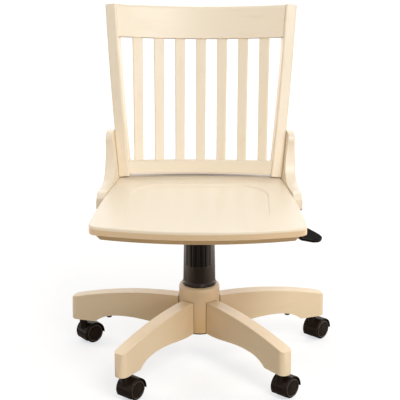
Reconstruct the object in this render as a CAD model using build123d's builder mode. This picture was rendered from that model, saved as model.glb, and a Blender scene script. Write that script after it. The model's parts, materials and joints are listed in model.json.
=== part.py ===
"""Armless wooden swivel chair, modelled piece by piece. Millimetres, +Z up, the chair faces -Y."""
import os
from math import atan2, cos, degrees, radians, sin, sqrt, tan

from build123d import *

os.makedirs("parts", exist_ok=True)

# Fits
FIT = 0.05
CLEAR = 0.3

# Base
BASE_TURN = 2.9
LEG_COUNT = 5
LEG_REACH = 327.0
LEG_WIDTH = 32.0
HUB_R = 48.5
HUB_BOTTOM = 78.0
HUB_TOP = 192.0
HUB_SHOULDER = 9.0
LEG_TOP_HUB = 157.0
LEG_TOP_MID = 151.5
LEG_TOP_NOSE = 124.0
LEG_ARCH = 88.0
FOOT_Z = 66.0
FOOT_START = LEG_REACH - 65.0
TENON_DEEP = 11.0
TENON_WIDE = 15.0
SHOULDER_GAP = 0.7
LEG_BOLTS_AT = (HUB_R + 17.5, FOOT_START - 30.0)

# Casters
CASTER_AT = LEG_REACH - 27.0
CASTER_TRAIL = 20.0
CASTER_TURNS = (46.0, 38.0, 50.0, 48.0, 49.0)
WHEEL_R = 25.0
WHEEL_WIDE = 14.5
CASTER_WEB = 13.0
STEM_R = 5.5
AXLE_R = 4.0

# Column
GAS_R = 25.0
GAS_TOP = 296.0
PRESSURE_R = 14.0
SEAT_LIFT = 95.0
COVER_LIP_R = 41.0
COVER_R = 38.5
COVER_TOP_R = 36.5
COVER_TOP = 310.0
COVER_WALL = 1.8

# Tilt mechanism
SEAT_TOP = 412.0
SEAT_EDGE = 20.0
SEAT_UNDER = 18.0
SEAT_BOTTOM = SEAT_TOP - SEAT_EDGE - SEAT_UNDER
PLATE_T = 3.0
PLATE_Z = SEAT_BOTTOM - PLATE_T
PIVOT_Y = -35.0
PIVOT_Z = PLATE_Z - 19.0
PIVOT_R = 6.0
HOUSE_HALF = 40.0
HOUSE_WALL = 3.0
HOUSE_BOTTOM = PIVOT_Z - 26.0
ARM_Z = PIVOT_Z + 2.0
ARM_T = 4.0
KNOB_Y = -95.0
KNOB_R = 30.5
KNOB_BOTTOM = 274.0
KNOB_TALL = 57.0
SPRING_R = 17.5
SPRING_WIRE = 4.0
SPRING_TURNS = 7
TENSION_R = 5.0
PIN_TOP = PIVOT_Z - 2.0
LEVER_R = 4.0
LEVER_Z = PIN_TOP + LEVER_R
LEVER_PIVOT_X = HOUSE_HALF + 3.0
PADDLE_X = 291.0
PADDLE_Y = -26.0
PADDLE_Z = 333.0
PADDLE_LONG = 72.0
PADDLE_WIDE = 50.0
PADDLE_T = 9.0
PADDLE_DROOP = 22.0
PADDLE_DIP = 13.0

# Seat outline
SEAT_FRONT_MID = -267.0
SEAT_FRONT_SIDE = -230.0
SEAT_FRONT_HALF = 243.5
SEAT_MID_HALF = 220.0
SEAT_REAR = 196.0
SEAT_REAR_HALF = 186.0
SEAT_CORNER = 24.0
SCOOP_HALF = 172.0
SCOOP_REAR = 86.0
SCOOP_FRONT = -225.0
SCOOP_CORNER = 84.0
SCOOP_DEEP = 4.0

# Back
POST_WIDE = 27.0
POST_DEEP = 34.0
POST_TOE = 8.5
POST_FOOT_X = 184.0
POST_FOOT_Y = 134.0
POST_GAP = 3.0
BACK_TALL = 409.0
BACK_LEAN = 100.0
POST_TOP_X = 218.0
CREST_TALL = 83.0
CREST_T = 20.0
CREST_BOW = 40.0
RAIL_TALL = 32.0
RAIL_T = 22.0
RAIL_BOW = 15.0
SLAT_COUNT = 7
SLAT_PITCH_TOP = 51.9
SLAT_PITCH_LOW = 50.4
SLAT_WIDE_TOP = 25.5
SLAT_WIDE_LOW = 22.5
SLAT_T = 9.0
SLAT_TENON = 9.0
BRACKET_OUT = 241.6
BRACKET_ANGLE = 5.25
BRACKET_BLANK = 60.0
BRACKET_NOSE_Y = -13.0
BRACKET_DROP = 35.0
BRACKET_TOP = 528.0


def leg_angle(n):
    """Direction of leg n in degrees; leg 1 points to the rear."""
    return 90.0 + BASE_TURN + n * 360.0 / LEG_COUNT


def polar(r, angle):
    return r * cos(radians(angle)), r * sin(radians(angle))


def save(builder, name):
    builder.part.label = name
    export_step(builder.part, "parts/" + name + ".step")


def at_leg(shape, n):
    return shape.rotate(Axis.Z, leg_angle(n))


# Legs, drawn along +X and turned to their places
with BuildPart() as leg_blank:
    with BuildSketch(Plane.XZ) as leg_side:
        with BuildLine():
            inner = HUB_R - TENON_DEEP
            nose_top = LEG_REACH - 3.5
            top = Spline((inner, LEG_TOP_HUB), (HUB_R + 130, LEG_TOP_MID), (nose_top, LEG_TOP_NOSE))
            nose = Line(top @ 1, (LEG_REACH, FOOT_Z + 4))
            toe = Line(nose @ 1, (LEG_REACH - 1, FOOT_Z))
            foot = Line(toe @ 1, (FOOT_START, FOOT_Z))
            knee = Spline(
                foot @ 1,
                (FOOT_START - 24, LEG_ARCH - 7),
                (FOOT_START - 62, LEG_ARCH),
                (FOOT_START - 108, LEG_ARCH - 1),
                (HUB_R + 38, HUB_BOTTOM + 1),
                (HUB_R + 12, HUB_BOTTOM),
            )
            under = Line(knee @ 1, (inner, HUB_BOTTOM))
            Line(under @ 1, (inner, LEG_TOP_HUB))
        make_face()
    extrude(amount=LEG_WIDTH / 2, both=True)
    with BuildSketch(Plane.XY) as leg_plan:
        with BuildLine():
            half = LEG_WIDTH / 2
            side_a = Line((inner, -half), (LEG_REACH - half, -half))
            end = ThreePointArc(side_a @ 1, (LEG_REACH, 0), (LEG_REACH - half, half))
            side_b = Line(end @ 1, (inner, half))
            Line(side_b @ 1, (inner, -half))
        make_face()
    extrude(amount=HUB_TOP + 50, mode=Mode.INTERSECT)
    # The tenon: below, above and beside it the wood is cut back to the hub
    with BuildSketch(Plane.XY):
        Circle(HUB_R + SHOULDER_GAP)
        Rectangle(2 * HUB_R + 4, TENON_WIDE, mode=Mode.SUBTRACT)
    extrude(amount=HUB_TOP + 50, mode=Mode.SUBTRACT)
    with BuildSketch(Plane.XY):
        Circle(HUB_R + SHOULDER_GAP)
    extrude(amount=HUB_BOTTOM + 10, mode=Mode.SUBTRACT)
    with BuildSketch(Plane.XY.offset(LEG_TOP_HUB - 12)):
        Circle(HUB_R + SHOULDER_GAP)
    extrude(amount=40, mode=Mode.SUBTRACT)
    top_edges = leg_blank.edges().filter_by(lambda e: e.center().Z > LEG_TOP_NOSE - 4)
    long_edges = top_edges.filter_by(lambda e: e.length > 150)
    fillet(long_edges, radius=1.5)
    # Caster socket and bolt holes
    with Locations((CASTER_AT, 0, FOOT_Z)):
        Cylinder(7.0 + FIT, 80, mode=Mode.SUBTRACT)
    with Locations(*[(r, 0, HUB_BOTTOM + 10) for r in LEG_BOLTS_AT]):
        Cylinder(4.0 + FIT, 75, mode=Mode.SUBTRACT)


def under_z(r):
    """Height of the leg's underside beside the bolt hole at distance r from the column."""
    hits = leg_blank.part.intersect(Axis((r, half - 5, 0), (0, 0, 1)))
    return min(v.Z for v in hits.vertices())


leg_under = [min(under_z(r + d) for d in (-8.5, -4, 0, 4, 8.5)) for r in LEG_BOLTS_AT]

for n in range(LEG_COUNT):
    with BuildPart() as leg:
        add(at_leg(leg_blank.part, n))
    save(leg, f"leg_{n + 1}")

# Hub with its mortises and the bore of the steel socket
SOCKET_R = 31.0
SCREW_RING = 39.5
SCREW_R = 2.0
SCREW_LONG = 18.0
with BuildPart() as hub:
    with BuildSketch(Plane.XY.offset(HUB_BOTTOM)):
        Circle(HUB_R)
    extrude(amount=HUB_TOP - HUB_BOTTOM)
    fillet(hub.edges().group_by(Axis.Z)[-1], radius=HUB_SHOULDER)
    fillet(hub.edges().group_by(Axis.Z)[0], radius=1.5)
    with Locations((0, 0, HUB_BOTTOM + (HUB_TOP - HUB_BOTTOM) / 2)):
        Cylinder(SOCKET_R + FIT, HUB_TOP, mode=Mode.SUBTRACT)
    tenon_low = HUB_BOTTOM + 10 - FIT
    tenon_high = LEG_TOP_HUB - 12 + FIT
    for n in range(LEG_COUNT):
        x, y = polar(HUB_R - TENON_DEEP / 2 + 1 - FIT, leg_angle(n))
        with Locations(Location((x, y, (tenon_low + tenon_high) / 2), (0, 0, leg_angle(n)))):
            Box(TENON_DEEP + 2, TENON_WIDE + 2 * FIT, tenon_high - tenon_low, mode=Mode.SUBTRACT)
    with BuildSketch(Plane.XY.offset(HUB_BOTTOM)):
        with PolarLocations(SCREW_RING, LEG_COUNT, start_angle=leg_angle(0) + 36):
            Circle(SCREW_R + FIT)
    extrude(amount=SCREW_LONG - 2, mode=Mode.SUBTRACT)
save(hub, "hub")

# Steel socket with a tapered bore for the gas tube
TAPER_LOW = GAS_R - 1.3
SOCKET_LOW = HUB_BOTTOM
with BuildPart() as socket:
    with BuildSketch(Plane.XZ):
        with BuildLine():
            Polyline(
                (TAPER_LOW + FIT, SOCKET_LOW),
                (SOCKET_R, SOCKET_LOW),
                (SOCKET_R, HUB_TOP - 6),
                (GAS_R + FIT, HUB_TOP - 6),
                close=True,
            )
        make_face()
    revolve(axis=Axis.Z)
save(socket, "hub_socket")

# Dark plate under the hub, screwed from below
with BuildPart() as hub_plate:
    with BuildSketch(Plane.XY.offset(HUB_BOTTOM - 3)):
        Circle(HUB_R - 2)
        Circle(TAPER_LOW + 0.5, mode=Mode.SUBTRACT)
        with PolarLocations(SCREW_RING, LEG_COUNT, start_angle=leg_angle(0) + 36):
            Circle(SCREW_R + FIT, mode=Mode.SUBTRACT)
    extrude(amount=3)
    fillet(hub_plate.edges().group_by(Axis.Z)[0].sort_by(SortBy.RADIUS)[-1], radius=1)
save(hub_plate, "hub_plate")

# Slotted screws of that plate, one group
with BuildPart() as hub_screws:
    for n in range(LEG_COUNT):
        x, y = polar(SCREW_RING, leg_angle(n) + 36)
        with BuildPart(mode=Mode.PRIVATE) as screw:
            with BuildSketch(Plane.XZ):
                with BuildLine():
                    Polyline((0, SCREW_LONG - 5), (0, -2.4), (2.2, -2.4), (3.6, -1.6), (4.2, 0), (SCREW_R, 0),
                             (SCREW_R, SCREW_LONG - 8), close=True)
                make_face()
            revolve(axis=Axis.Z)
            with Locations((0, 0, -2.4)):
                Box(9, 1.1, 2.0, mode=Mode.SUBTRACT)
        add(screw.part.moved(Location((x, y, HUB_BOTTOM - 3), (0, 0, leg_angle(n) + 17 * n))))
save(hub_screws, "hub_screws")

# Bolts under the legs, hexagon heads with washers, one group
with BuildPart() as leg_bolts:
    for n in range(LEG_COUNT):
        for r, low in zip(LEG_BOLTS_AT, leg_under):
            x, y = polar(r, leg_angle(n))
            with BuildSketch(Plane.XY.offset(low - 1.5).move(Location((x, y, 0)))):
                Circle(8.0)
            extrude(amount=1.5)
            with BuildSketch(Plane.XY.offset(low - 4.5).move(Location((x, y, 0)))):
                RegularPolygon(6.4, 6)
            extrude(amount=3)
            with BuildSketch(Plane.XY.offset(low).move(Location((x, y, 0)))):
                Circle(4.0)
            extrude(amount=34)
save(leg_bolts, "leg_bolts")

# Grip sockets of the casters with their bright collars, one group
with BuildPart() as sockets:
    for n in range(LEG_COUNT):
        x, y = polar(CASTER_AT, leg_angle(n))
        with BuildSketch(Plane.XY.offset(FOOT_Z - 1.5).move(Location((x, y, 0)))):
            Circle(10)
            Circle(STEM_R + FIT, mode=Mode.SUBTRACT)
        extrude(amount=1.5)
        with BuildSketch(Plane.XY.offset(FOOT_Z).move(Location((x, y, 0)))):
            Circle(7.0)
            Circle(STEM_R + FIT, mode=Mode.SUBTRACT)
        extrude(amount=39)
save(sockets, "caster_sockets")

# Casters, drawn with the stem on the Z axis and the wheels trailing along +X
HOOD_IN = WHEEL_R + 1.2
HOOD_OUT = HOOD_IN + 2.2
HOOD_HALF = CASTER_WEB / 2 + WHEEL_WIDE + 0.8
STEM_LOW = WHEEL_R + 14.0
BOSS_TOP = FOOT_Z - 4.0
wheel_plane = Plane(origin=(CASTER_TRAIL, 0, WHEEL_R), x_dir=(1, 0, 0), z_dir=(0, -1, 0))
HOOD_FROM = 212.0
HOOD_TO = -4.0
with BuildPart() as hood_blank:
    with BuildSketch(wheel_plane):
        with BuildLine():
            roof = ThreePointArc(
                polar(HOOD_OUT, HOOD_FROM),
                polar(HOOD_OUT, (HOOD_FROM + HOOD_TO) / 2),
                polar(HOOD_OUT, HOOD_TO),
            )
            back_edge = Line(roof @ 1, (0, 0))
            Line(back_edge @ 1, roof @ 0)
        make_face()
        Circle(2 * AXLE_R)
    extrude(amount=HOOD_HALF, both=True)
    rims = hood_blank.edges().filter_by(GeomType.CIRCLE).filter_by(lambda e: e.radius > HOOD_OUT - 0.1)
    fillet(rims, radius=1.4)
    with BuildSketch(Plane.XY.offset(WHEEL_R + 14)):
        Circle(9.5)
    extrude(amount=BOSS_TOP - WHEEL_R - 14)
    # Pockets of the two wheels; the web between them stays
    for side in (-1, 1):
        with BuildSketch(wheel_plane.offset(side * (CASTER_WEB / 2 - 0.4))):
            Circle(HOOD_IN)
        extrude(amount=side * (HOOD_HALF + 4), mode=Mode.SUBTRACT)
    with BuildSketch(Plane.XY.offset(STEM_LOW)):
        Circle(STEM_R + FIT)
    extrude(amount=60, mode=Mode.SUBTRACT)
    with BuildSketch(wheel_plane):
        Circle(AXLE_R + FIT)
    extrude(amount=HOOD_HALF + 9, both=True, mode=Mode.SUBTRACT)

with BuildPart() as pins_blank:
    with Locations((0, 0, (STEM_LOW + FOOT_Z + 37) / 2)):
        Cylinder(STEM_R, FOOT_Z + 37 - STEM_LOW)
    chamfer(pins_blank.edges().group_by(Axis.Z)[-1], length=1.5)
    with Locations(Location((CASTER_TRAIL, 0, WHEEL_R), (90, 0, 0))):
        Cylinder(AXLE_R, 2 * HOOD_HALF - 8)

with BuildPart() as wheels_blank:
    for side in (1, -1):
        face_in = side * (CASTER_WEB / 2 + 0.2)
        face_out = face_in + side * WHEEL_WIDE
        with BuildSketch(Plane.XY):
            with BuildLine():
                Polyline(
                    (CASTER_TRAIL + AXLE_R + FIT, face_in),
                    (CASTER_TRAIL + WHEEL_R - 1.5, face_in),
                    (CASTER_TRAIL + WHEEL_R, face_in + side * 2.0),
                    (CASTER_TRAIL + WHEEL_R, face_out - side * 3.0),
                    (CASTER_TRAIL + WHEEL_R - 2.5, face_out - side * 0.6),
                    (CASTER_TRAIL + WHEEL_R - 5.0, face_out),
                    (CASTER_TRAIL + WHEEL_R - 6.5, face_out - side * 1.6),
                    (CASTER_TRAIL + 9.5, face_out - side * 1.0),
                    (CASTER_TRAIL + AXLE_R + FIT, face_out - side * 0.8),
                    close=True,
                )
            make_face()
        revolve(axis=Axis((CASTER_TRAIL, 0, 0), (0, 1, 0)))
wheel_lift = Location((0, 0, WHEEL_R))

for n in range(LEG_COUNT):
    x, y = polar(CASTER_AT, leg_angle(n))
    spot = Location((x, y, 0), (0, 0, CASTER_TURNS[n]))
    with BuildPart() as hood:
        add(hood_blank.part.moved(spot))
    save(hood, f"caster_{n + 1}_hood")
    with BuildPart() as pins:
        add(pins_blank.part.moved(spot))
    save(pins, f"caster_{n + 1}_pins")
    with BuildPart() as wheels:
        add(wheels_blank.part.moved(spot * wheel_lift))
    save(wheels, f"caster_{n + 1}_wheels")

# Gas spring: outer tube with a tapered foot, bush, bearing, rod, pressure tube
GAS_LOW = HUB_BOTTOM + 3.0
GAS_WALL = 2.5
GAS_FLOOR = 5.0
BUSH_LOW = GAS_TOP - 78.0
taper_grow = (GAS_R - TAPER_LOW) / (HUB_TOP - 6 - SOCKET_LOW)
GAS_LOW_R = TAPER_LOW + taper_grow * (GAS_LOW - SOCKET_LOW)
with BuildPart() as gas_tube:
    with BuildSketch(Plane.XZ):
        with BuildLine():
            Polyline(
                (8, GAS_LOW),
                (GAS_LOW_R, GAS_LOW),
                (GAS_R, HUB_TOP - 6),
                (GAS_R, GAS_TOP),
                (GAS_R - GAS_WALL, GAS_TOP),
                (GAS_R - GAS_WALL, HUB_TOP - 6),
                (GAS_LOW_R - GAS_WALL, GAS_LOW + GAS_FLOOR),
                (8, GAS_LOW + GAS_FLOOR),
                close=True,
            )
        make_face()
    revolve(axis=Axis.Z)
save(gas_tube, "gas_tube")

with BuildPart() as bush:
    with BuildSketch(Plane.XY.offset(BUSH_LOW)):
        Circle(GAS_R - GAS_WALL - FIT)
        Circle(PRESSURE_R + FIT, mode=Mode.SUBTRACT)
    extrude(amount=GAS_TOP - BUSH_LOW)
save(bush, "guide_bush")

BEARING_Z = GAS_LOW + GAS_FLOOR
with BuildPart() as bearing:
    with BuildSketch(Plane.XY.offset(BEARING_Z)):
        Circle(16)
        Circle(6.5, mode=Mode.SUBTRACT)
    extrude(amount=7)
    fillet(bearing.edges().filter_by(GeomType.CIRCLE).group_by(SortBy.RADIUS)[-1], radius=1)
save(bearing, "thrust_bearing")

PISTON_LOW = BUSH_LOW + 14.0
PISTON_TALL = 16.0
ROD_R = 5.0
TUBE_LOW = BUSH_LOW - SEAT_LIFT - 4.0
TUBE_BORE = PRESSURE_R - 2.0
with BuildPart() as rod:
    with BuildSketch(Plane.XZ):
        with BuildLine():
            Polyline(
                (0, HUB_BOTTOM - 1),
                (ROD_R, HUB_BOTTOM - 1),
                (ROD_R, BEARING_Z + 7),
                (12, BEARING_Z + 7),
                (12, BEARING_Z + 11),
                (ROD_R, BEARING_Z + 11),
                (ROD_R, PISTON_LOW),
                (TUBE_BORE - FIT, PISTON_LOW),
                (TUBE_BORE - FIT, PISTON_LOW + PISTON_TALL),
                (0, PISTON_LOW + PISTON_TALL),
                close=True,
            )
        make_face()
    revolve(axis=Axis.Z)
save(rod, "piston_rod")

CLIP_R = 11.0
with BuildPart() as clip:
    with BuildSketch(Plane.XY.offset(GAS_LOW - 2)):
        Circle(CLIP_R)
        Circle(ROD_R, mode=Mode.SUBTRACT)
        with Locations((CLIP_R, 0)):
            Rectangle(2 * CLIP_R, 5, mode=Mode.SUBTRACT)
    extrude(amount=2 - FIT)
save(clip, "rod_clip")

CONE_LOW = HOUSE_BOTTOM - 8.0
CONE_TOP = PIN_TOP - 8.0
CONE_TOP_R = PRESSURE_R - 1.5
with BuildPart() as tube:
    with BuildSketch(Plane.XZ):
        with BuildLine():
            Polyline(
                (ROD_R + FIT, TUBE_LOW),
                (PRESSURE_R, TUBE_LOW),
                (PRESSURE_R, CONE_LOW),
                (CONE_TOP_R, CONE_TOP),
                (4 + FIT, CONE_TOP),
                (4 + FIT, CONE_TOP - 16),
                (TUBE_BORE, CONE_TOP - 16),
                (TUBE_BORE, TUBE_LOW + 12),
                (ROD_R + FIT, TUBE_LOW + 12),
                close=True,
            )
        make_face()
    revolve(axis=Axis.Z)
save(tube, "pressure_tube")

with BuildPart() as pin:
    with Locations((0, 0, (PIN_TOP + CONE_TOP - 14) / 2)):
        Cylinder(4, PIN_TOP - CONE_TOP + 14)
    fillet(pin.edges().group_by(Axis.Z)[-1], radius=0.8)
save(pin, "release_pin")

# Covers: the brown outer sleeve stands on the hub, the inner one hangs from the housing
with BuildPart() as lower_cover:
    with BuildSketch(Plane.XZ):
        with BuildLine():
            Polyline(
                (COVER_R - COVER_WALL, HUB_TOP),
                (COVER_LIP_R, HUB_TOP),
                (COVER_LIP_R, HUB_TOP + 2),
                (COVER_R + 0.8, HUB_TOP + 6),
                (COVER_R, HUB_TOP + 10),
                (COVER_TOP_R, COVER_TOP),
                (COVER_TOP_R - COVER_WALL, COVER_TOP),
                (COVER_R - COVER_WALL, HUB_TOP + 10),
                close=True,
            )
        make_face()
    revolve(axis=Axis.Z)
save(lower_cover, "lower_cover")

INNER_R = COVER_TOP_R - COVER_WALL - 1.2
with BuildPart() as upper_cover:
    with BuildSketch(Plane.XZ):
        with BuildLine():
            Polyline(
                (INNER_R - 1.8, HUB_TOP + 8),
                (INNER_R, HUB_TOP + 8),
                (INNER_R, HOUSE_BOTTOM),
                (PRESSURE_R + 9, HOUSE_BOTTOM),
                (PRESSURE_R + 9, HOUSE_BOTTOM - 2.5),
                (INNER_R - 1.8, HOUSE_BOTTOM - 2.5),
                close=True,
            )
        make_face()
    revolve(axis=Axis.Z)
save(upper_cover, "upper_cover")

# Tilt housing: a folded channel with a raised front arm and a tapered socket for the tube
HOUSE_REAR = 46.0
HOUSE_STEP = -58.0
ARM_FRONT = -134.0
REAR_TOP = PIVOT_Z - 5.0
with BuildPart() as housing:
    with BuildSketch(Plane.YZ) as house_side:
        with BuildLine():
            Polyline(
                (HOUSE_REAR, HOUSE_BOTTOM),
                (HOUSE_REAR, REAR_TOP),
                (PIVOT_Y + 26, PIVOT_Z + 9),
                (PIVOT_Y - 14, PIVOT_Z + 12),
                (HOUSE_STEP - 8, ARM_Z + ARM_T + 4),
                (ARM_FRONT + 6, ARM_Z + ARM_T + 2),
                (ARM_FRONT, ARM_Z + ARM_T),
                (ARM_FRONT, ARM_Z),
                (HOUSE_STEP, ARM_Z),
                (HOUSE_STEP + 4, HOUSE_BOTTOM),
                close=True,
            )
        make_face()
    extrude(amount=HOUSE_HALF, both=True)
    with BuildSketch(Plane.YZ) as house_hollow:
        with BuildLine():
            Polyline(
                (HOUSE_REAR - HOUSE_WALL, HOUSE_BOTTOM + HOUSE_WALL),
                (HOUSE_REAR - HOUSE_WALL, PIVOT_Z + 40),
                (ARM_FRONT - 5, PIVOT_Z + 40),
                (ARM_FRONT - 5, ARM_Z + ARM_T),
                (HOUSE_STEP + HOUSE_WALL, ARM_Z + ARM_T),
                (HOUSE_STEP + 4 + HOUSE_WALL, HOUSE_BOTTOM + HOUSE_WALL),
                close=True,
            )
        make_face()
    extrude(amount=HOUSE_HALF - HOUSE_WALL, both=True, mode=Mode.SUBTRACT)
    with Locations((0, 0, (HOUSE_BOTTOM + CONE_TOP) / 2)):
        Cylinder(PRESSURE_R + 7, CONE_TOP - HOUSE_BOTTOM)
    with BuildSketch(Plane.XZ):
        with BuildLine():
            Polyline(
                (0, CONE_LOW),
                (PRESSURE_R + FIT, CONE_LOW),
                (CONE_TOP_R + FIT, CONE_TOP),
                (CONE_TOP_R + FIT, CONE_TOP + 1),
                (0, CONE_TOP + 1),
                close=True,
            )
        make_face()
    revolve(axis=Axis.Z, mode=Mode.SUBTRACT)
    with Locations(Location((0, PIVOT_Y, PIVOT_Z), (0, 90, 0))):
        Cylinder(PIVOT_R + FIT, 2 * HOUSE_HALF + 4, mode=Mode.SUBTRACT)
    with Locations((0, KNOB_Y, ARM_Z)):
        Box(2 * TENSION_R + 3, 2 * TENSION_R + 9, 30, mode=Mode.SUBTRACT)
    with Locations((HOUSE_HALF, 0, LEVER_Z)):
        Box(20, 2 * LEVER_R + 1, 2 * LEVER_R + 6, mode=Mode.SUBTRACT)
save(housing, "tilt_housing")

with BuildPart() as pivot:
    with Locations(Location((0, PIVOT_Y, PIVOT_Z), (0, 90, 0))):
        Cylinder(PIVOT_R, 2 * HOUSE_HALF + 14)
    chamfer(pivot.edges().filter_by(GeomType.CIRCLE), length=1)
save(pivot, "pivot_pin")

BUMPER_Y = ARM_FRONT + 14
with BuildPart() as bumper:
    with Locations((0, BUMPER_Y, (ARM_Z + ARM_T + PLATE_Z) / 2)):
        Box(46, 16, PLATE_Z - ARM_Z - ARM_T)
    fillet(bumper.edges().filter_by(Axis.Z), radius=4)
save(bumper, "tilt_bumper")

# Seat plate with two ears on the pivot pin
EAR_IN = HOUSE_HALF + CLEAR
PLATE_FRONT = -142.0
PLATE_REAR = 92.0
PLATE_HALF = 92.0
SEAT_BOLTS = [(sx * 74.0, y) for sx in (-1, 1) for y in (PLATE_FRONT + 22, PLATE_REAR - 22)]
with BuildPart() as plate:
    with BuildSketch(Plane.XY.offset(PLATE_Z)):
        with Locations((0, (PLATE_FRONT + PLATE_REAR) / 2)):
            RectangleRounded(2 * PLATE_HALF, PLATE_REAR - PLATE_FRONT, 16)
        with Locations(*SEAT_BOLTS):
            Circle(3.0 + FIT, mode=Mode.SUBTRACT)
        with Locations((0, KNOB_Y)):
            Circle(TENSION_R + FIT, mode=Mode.SUBTRACT)
        for sx in (-1, 1):
            with Locations((sx * (PLATE_HALF - 18), (PLATE_FRONT + PLATE_REAR) / 2)):
                SlotOverall(70, 16, rotation=90, mode=Mode.SUBTRACT)
    extrude(amount=PLATE_T)
    for sx in (-1, 1):
        with BuildSketch(Plane.YZ.offset(sx * (EAR_IN + 2) - 2)):
            with BuildLine():
                ear_r = 13.0
                Polyline(
                    (PIVOT_Y - 26, PLATE_Z),
                    (PIVOT_Y - ear_r, PIVOT_Z),
                    (PIVOT_Y + ear_r, PIVOT_Z),
                    (PIVOT_Y + 26, PLATE_Z),
                    close=True,
                )
            make_face()
            with Locations((PIVOT_Y, PIVOT_Z)):
                Circle(ear_r)
            with Locations((PIVOT_Y, PIVOT_Z)):
                Circle(PIVOT_R + FIT, mode=Mode.SUBTRACT)
        extrude(amount=4)
save(plate, "seat_plate")

with BuildPart() as seat_bolts:
    for x, y in SEAT_BOLTS:
        with BuildSketch(Plane.XY.offset(PLATE_Z - 4).move(Location((x, y, 0)))):
            RegularPolygon(5.7, 6)
        extrude(amount=4)
        with BuildSketch(Plane.XY.offset(PLATE_Z).move(Location((x, y, 0)))):
            Circle(3.0)
        extrude(amount=20)
save(seat_bolts, "seat_bolts")

KNOB_FLOOR = 8.0
with BuildPart() as tension_bolt:
    with Locations((0, KNOB_Y, (KNOB_BOTTOM + 3 + SEAT_BOTTOM - 0.5) / 2)):
        Cylinder(TENSION_R, SEAT_BOTTOM - 0.5 - KNOB_BOTTOM - 3)
    with BuildSketch(Plane.XY.offset(PLATE_Z - 7).move(Location((0, KNOB_Y, 0)))):
        RegularPolygon(9, 6)
    extrude(amount=7)
save(tension_bolt, "tension_bolt")

# Fluted knob, a cup that hides the foot of the spring
with BuildPart() as knob:
    with BuildSketch(Plane.XY.offset(KNOB_BOTTOM).move(Location((0, KNOB_Y, 0)))):
        Circle(KNOB_R)
        with PolarLocations(KNOB_R + 2.2, 12):
            Circle(4.2, mode=Mode.SUBTRACT)
    extrude(amount=KNOB_TALL)
    chamfer(knob.edges().group_by(Axis.Z)[0], length=1.6)
    with BuildSketch(Plane.XY.offset(KNOB_BOTTOM + KNOB_FLOOR).move(Location((0, KNOB_Y, 0)))):
        Circle(KNOB_R - 5.5)
    extrude(amount=KNOB_TALL, mode=Mode.SUBTRACT)
    with Locations((0, KNOB_Y, KNOB_BOTTOM + 3 + 20)):
        Cylinder(TENSION_R + FIT, 40, mode=Mode.SUBTRACT)
save(knob, "tension_knob")

SPRING_LOW = KNOB_BOTTOM + KNOB_FLOOR
SPRING_TALL = ARM_Z - SPRING_LOW
with BuildPart() as spring:
    pitch = (SPRING_TALL - SPRING_WIRE - 0.2) / SPRING_TURNS
    with BuildLine() as coil:
        Helix(pitch, pitch * SPRING_TURNS, SPRING_R, center=(0, KNOB_Y, SPRING_LOW + SPRING_WIRE / 2 + 0.1))
    with BuildSketch(Plane(coil.line @ 0, z_dir=coil.line % 0)):
        Circle(SPRING_WIRE / 2)
    sweep(is_frenet=True)
save(spring, "tension_spring")

# Lever: a bent rod through the housing wall and a drooping paddle
PADDLE_IN = PADDLE_X - PADDLE_LONG
with BuildPart() as lever_rod:
    with BuildLine() as lever_path:
        a = (-6, 0, LEVER_Z)
        b = (LEVER_PIVOT_X + 16, 0, LEVER_Z)
        dip = radians(PADDLE_DIP)
        c = (PADDLE_IN + 26 * cos(dip), PADDLE_Y, PADDLE_Z - 26 * sin(dip))
        FilletPolyline(a, b, c, radius=24)
    with BuildSketch(Plane(origin=a, z_dir=(1, 0, 0))):
        Circle(LEVER_R)
    sweep()
save(lever_rod, "lever_rod")

with BuildPart() as paddle:
    with BuildSketch(Plane.XY) as paddle_plan:
        with BuildLine():
            hw = PADDLE_WIDE / 2
            l1 = Line((0, -9), (22, -hw))
            l2 = Line(l1 @ 1, (PADDLE_LONG - 24, -hw))
            tip = (PADDLE_LONG, -hw + 14)
            l3 = Spline(l2 @ 1, tip, (PADDLE_LONG - 38, hw - 6), tangents=((1, 0.1), (-1, 0.5)))
            l4 = Line(l3 @ 1, (18, hw - 3))
            l5 = Line(l4 @ 1, (0, 9))
            Line(l5 @ 1, l1 @ 0)
        make_face()
    extrude(amount=PADDLE_T / 2, both=True)
    fillet(paddle.edges().group_by(Axis.Z)[-1], radius=3)
    fillet(paddle.edges().group_by(Axis.Z)[0], radius=2)
paddle_place = Location((PADDLE_IN, PADDLE_Y, PADDLE_Z)) * Location((0, 0, 0), (PADDLE_DROOP, PADDLE_DIP, 0))
with BuildPart() as paddle_set:
    add(paddle.part.moved(paddle_place))
    add(lever_rod.part, mode=Mode.SUBTRACT)
save(paddle_set, "lever_paddle")

# Seat plank
with BuildSketch() as seat_plan:
    with BuildLine():
        front = ThreePointArc(
            (-SEAT_FRONT_HALF, SEAT_FRONT_SIDE), (0, SEAT_FRONT_MID), (SEAT_FRONT_HALF, SEAT_FRONT_SIDE)
        )
        right = ThreePointArc(front @ 1, (SEAT_MID_HALF, 0), (SEAT_REAR_HALF, SEAT_REAR))
        rear = Line(right @ 1, (-SEAT_REAR_HALF, SEAT_REAR))
        ThreePointArc(rear @ 1, (-SEAT_MID_HALF, 0), front @ 0)
    make_face()
    fillet(seat_plan.vertices().group_by(Axis.Y)[0], radius=SEAT_CORNER)
    fillet(seat_plan.vertices().group_by(Axis.Y)[-1], radius=14)

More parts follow.
